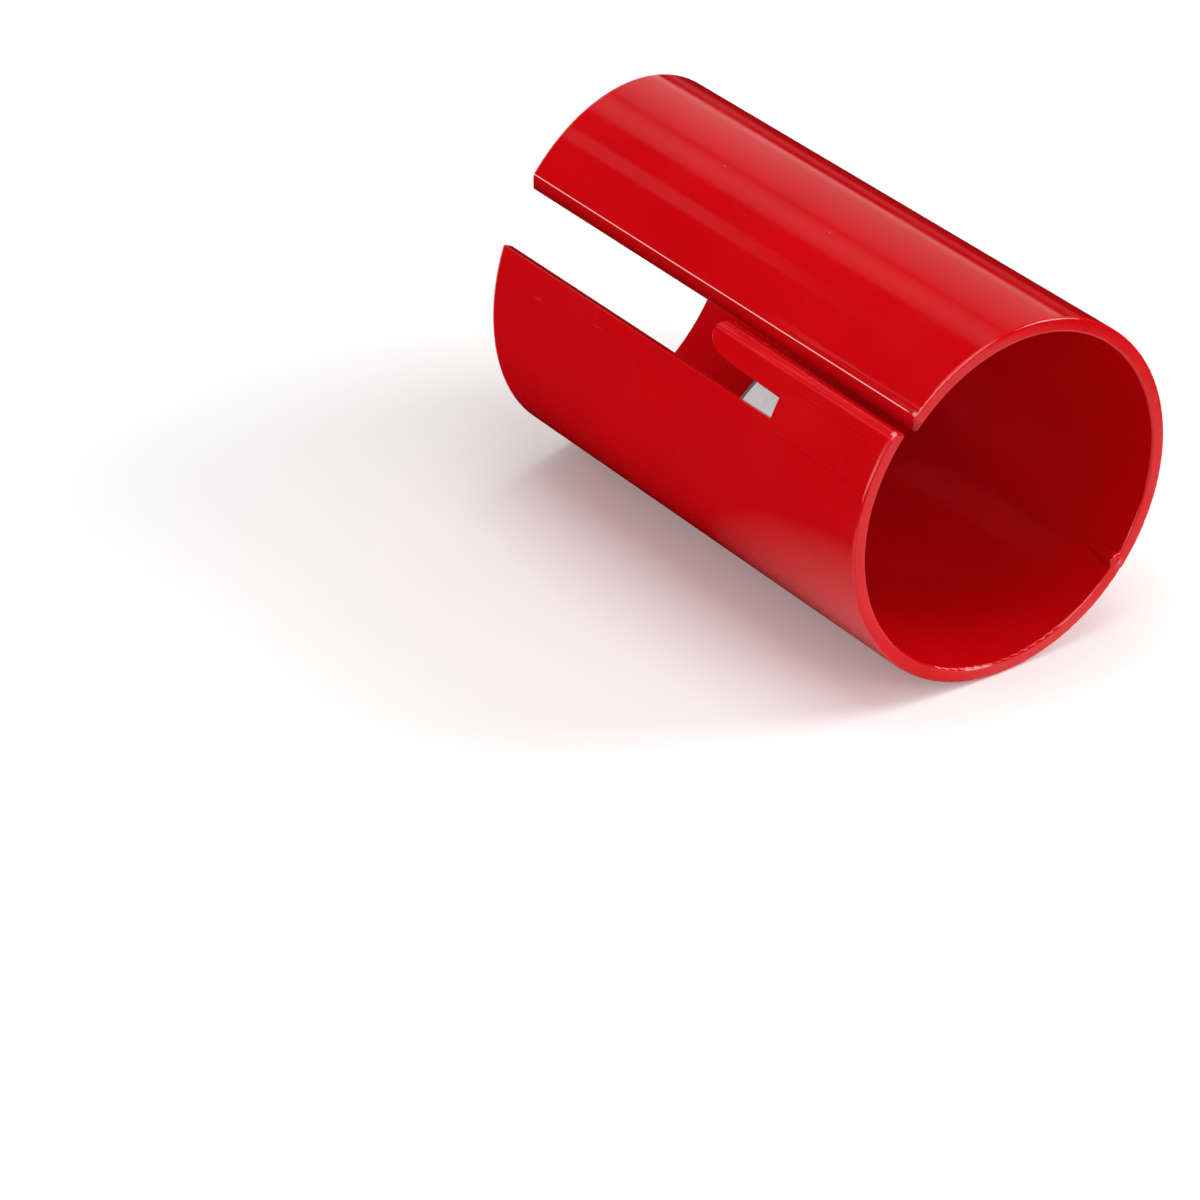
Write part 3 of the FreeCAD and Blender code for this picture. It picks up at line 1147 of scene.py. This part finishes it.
@dataclass(frozen=True)
class Flag:
    """Dark gauze just over the floor, which only reflections show and which keeps its glare off the tube:
    painted shade in the reflections, so the tube mirrors a dark floor where it lies.

    Spans are in millimetres, along the tube or across it, from where the gauze starts to thicken to where it
    is full.

    Attributes:
        side: Length of its sides, in metres.
        colour: Colour of its threads.
        front: Span across the tube of the part in front.
        front_along: Span along the tube over which that part thickens.
        foot: Span across the tube, under its foot, over which the front's thinning fades out.
        foot_share: How much of the thinning is left there.
        back: Span across the tube of the part behind.
        far: Span along the tube of the part past the far end.
        far_across: Span across the tube of that part.
        near: Span along the tube of the part past the near end.
        near_share: How full that part is.
    """

    side: float = 0.72
    colour: Colour = (0.02, 0.003, 0.003)
    front: Span = (0.0, -12.0)
    front_along: Span = (10.0, -58.0)
    foot: Span = (-27.0, -15.0)
    foot_share: float = 0.35
    back: Span = (45.0, 98.0)
    far: Span = (-130.0, -165.0)
    far_across: Span = (0.0, 20.0)
    near: Span = (2.0, 12.0)
    near_share: float = 0.45

    def build(self, middle: Vector) -> None:
        """Lay the gauze.

        Args:
            middle: The point that it lies under.
        """
        bpy.ops.mesh.primitive_plane_add(size=self.side)
        flag = bpy.context.object
        flag.name = "flag"
        flag.location = (middle.x, middle.y, LEAD_BOX[0].z + MM)
        flag.visible_camera = False
        flag.visible_diffuse = False
        flag.visible_transmission = False
        flag.visible_shadow = False
        # The gauze is painted shade that only reflections show.
        material, tree = new_material("reflection_shade_gauze")
        threads = tree.add("BsdfDiffuse")
        tree.join(self.colour, threads.inputs["Color"])
        gauze = tree.add("MixShader")
        tree.join(self.cover(tree), gauze.inputs[0])
        tree.join(tree.add("BsdfTransparent").outputs[0], gauze.inputs[1])
        tree.join(threads.outputs[0], gauze.inputs[2])
        tree.show(gauze.outputs[0])
        flag.data.materials.append(material)
        log.info("flag laid")

    def cover(self, tree: Tree) -> Socket:
        """Give how full the gauze is.

        Args:
            tree: The material's tree.

        Returns:
            The share's socket.
        """
        position = tree.add("NewGeometry").outputs["Position"]
        along, across, _ = tree.split(tree.vector("MULTIPLY", position, IN_MM).outputs[0])
        thickening = tree.add("MapRange")
        for source, target in zip((along, *self.front_along, 0.0, 1.0), thickening.inputs):
            tree.join(source, target)
        bare = tree.product(
            tree.math("SUBTRACT", 1.0, thickening.outputs[0]),
            tree.ramp(across, *self.foot, 1.0, self.foot_share),
        )
        front = tree.product(tree.math("SUBTRACT", 1.0, bare), tree.ramp(across, *self.front))
        far = tree.product(tree.ramp(along, *self.far), tree.ramp(across, *self.far_across))
        back = tree.math("MAXIMUM", tree.ramp(across, *self.back), far)
        near = tree.ramp(along, *self.near, 0.0, self.near_share)
        return tree.math("MAXIMUM", tree.math("MAXIMUM", front, back), near)


@dataclass
class Studio:
    """Floor, flag, surroundings and lamps.

    Attributes:
        middle: The point that the lamps face and the floor lies under.
        floor_radius: Radius of the floor, in metres.
        floor_colour: Colour of the floor.
        floor_glow: Light that the floor adds for the eye and in reflections.
        fill: Even light from all round.
        flag: The gauze over the floor, which paints shade into the reflections.
        backdrop: Strips along the tube that reflections show, as the angle of each edge round the X axis, in
            degrees from +Y towards +Z, and the brightness there.
        backdrop_end: X of the directions between which the strips fade out, towards the near end.
        backdrop_far: X of the directions between which they get brighter, towards the far end.
        backdrop_gain: How much brighter they get there.
        panels: Small bright panels.
        lamps: The softboxes.
    """

    middle: Place = (-0.05, 0.0, 0.0)
    floor_radius: float = 0.2
    floor_colour: Colour = (0.88, 0.88, 0.88)
    floor_glow: float = 0.1
    fill: float = 0.46
    flag: Flag = Flag()
    backdrop: tuple[Span, ...] = (
        (-16.0, 0.0),
        (-10.0, 0.05),
        (-4.0, 0.07),
        (1.0, 0.0),
        (5.0, 0.0),
        (7.0, 0.55),
        (14.0, 0.33),
        (32.0, 0.30),
        (44.0, 0.23),
        (48.0, 0.15),
        (50.5, 0.05),
        (53.0, 0.15),
        (57.0, 0.25),
        (63.0, 0.29),
        (68.5, 0.18),
        (71.5, 0.0),
    )
    backdrop_end: Span = (-0.45, -0.30)
    backdrop_far: Span = (-0.67, -0.74)
    backdrop_gain: float = 1.35
    panels: tuple[Panel, ...] = (
        Panel(-62.0, 13.0, 34.0, 10.0, 2.6),
        Panel(0.0, 43.0, 28.0, 9.0, 6.0),
        Panel(-178.0, 39.5, 3.5, 6.5, 0.24),
    )
    lamps: list[Softbox] = field(
        default_factory=lambda: [
            Softbox("overhead_lamp", 0.0, 88.0, 2.2, 1.6, 1.6, 2.15),
            Softbox("front_lamp", -104.0, 15.0, 1.5, 0.8, 0.8, 3.15),
            Softbox("right_lamp", 4.0, 24.0, 1.0, 0.7, 0.7, 2.2),
            Softbox("back_lamp", 64.0, 30.0, 1.5, 0.7, 0.7, 7.2),
        ]
    )

    def build(self) -> None:
        """Lay the floor and the flag, fill the surroundings and hang the lamps."""
        middle = Vector(self.middle)
        self.lay_floor()
        self.flag.build(middle)
        self.fill_world()
        for lamp in self.lamps:
            lamp.build(middle)

    def lay_floor(self) -> None:
        """Lay a round pale floor under the cutter."""
        bpy.ops.mesh.primitive_circle_add(vertices=96, radius=self.floor_radius, fill_type="NGON")
        floor = bpy.context.object
        floor.name = "floor"
        floor.location = (self.middle[0], self.middle[1], LEAD_BOX[0].z)
        material, tree = new_material("pale_floor")
        matt = tree.add("BsdfDiffuse")
        tree.join(self.floor_colour, matt.inputs["Color"])
        glow = tree.add("Emission")
        tree.join(tree.product(self.shown_background(tree), self.floor_glow), glow.inputs["Strength"])
        both = tree.add("AddShader")
        tree.join(matt.outputs[0], both.inputs[0])
        tree.join(glow.outputs[0], both.inputs[1])
        tree.show(both.outputs[0])
        floor.data.materials.append(material)
        log.info("floor laid")

    @staticmethod
    def shown_background(tree: Tree) -> Socket:
        """Give 1 for the rays that show a background: the eye's, and those mirrored or let through.

        Args:
            tree: The tree that needs it.

        Returns:
            The share's socket.
        """
        path = tree.add("LightPath")
        names = ("Is Camera Ray", "Is Glossy Ray", "Is Transmission Ray")
        return tree.math("MINIMUM", tree.total(*(path.outputs[name] for name in names)), 1.0)

    def strips(self, tree: Tree, ray: Socket) -> Socket:
        """Add the nodes that give the backdrop's brightness.

        Args:
            tree: The world's tree.
            ray: The direction that is looked in.

        Returns:
            The brightness socket.
        """
        along, across, up = tree.split(ray)
        edges = tree.add("ValToRGB")
        stops = edges.color_ramp.elements
        while len(stops) < len(self.backdrop):
            stops.new(1.0)
        for stop, (turn, brightness) in zip(stops, self.backdrop):
            stop.position = 0.5 + turn / 360.0
            stop.color = (brightness, brightness, brightness, 1.0)
        turn = tree.math("DEGREES", tree.math("ARCTAN2", up, across))
        tree.join(tree.math("MULTIPLY_ADD", turn, 1.0 / 360.0, 0.5), edges.inputs[0])
        shown = tree.ramp(along, *self.backdrop_end, 1.0, 0.0)
        brighter = tree.ramp(along, *self.backdrop_far, 1.0, self.backdrop_gain)
        return tree.product(edges.outputs[0], shown, brighter)

    def fill_world(self) -> None:
        """White for the eye, the backdrop and its panels for reflections, and an even fill for the rest."""
        world = bpy.data.worlds.new("studio")
        world.use_nodes = True
        tree = Tree(world.node_tree)
        ray = tree.add("TexCoord").outputs["Generated"]
        mirrored = tree.total(self.strips(tree, ray), *(panel.shine(tree, ray) for panel in self.panels))
        path = tree.add("LightPath")
        through = tree.total(path.outputs["Is Glossy Ray"], path.outputs["Is Transmission Ray"])
        lit = tree.add("Background")
        tree.join(WHITE, lit.inputs["Color"])
        tree.join(tree.choose(through, self.fill, mirrored), lit.inputs["Strength"])
        white = tree.add("Background")
        tree.join(WHITE, white.inputs["Color"])
        mix = tree.add("MixShader")
        tree.join(path.outputs["Is Camera Ray"], mix.inputs[0])
        tree.join(lit.outputs[0], mix.inputs[1])
        tree.join(white.outputs[0], mix.inputs[2])
        tree.join(mix.outputs[0], tree.add("OutputWorld").inputs["Surface"])
        bpy.context.scene.world = world


def main() -> None:
    """Dress the cutter and set up the studio round it."""
    logging.basicConfig(level=logging.INFO, format="%(message)s")
    bpy.context.scene.view_settings.view_transform = "Standard"
    Viewpoint().build()
    Studio().build()
    Cutter().build()


if __name__ == "__main__":
    main()
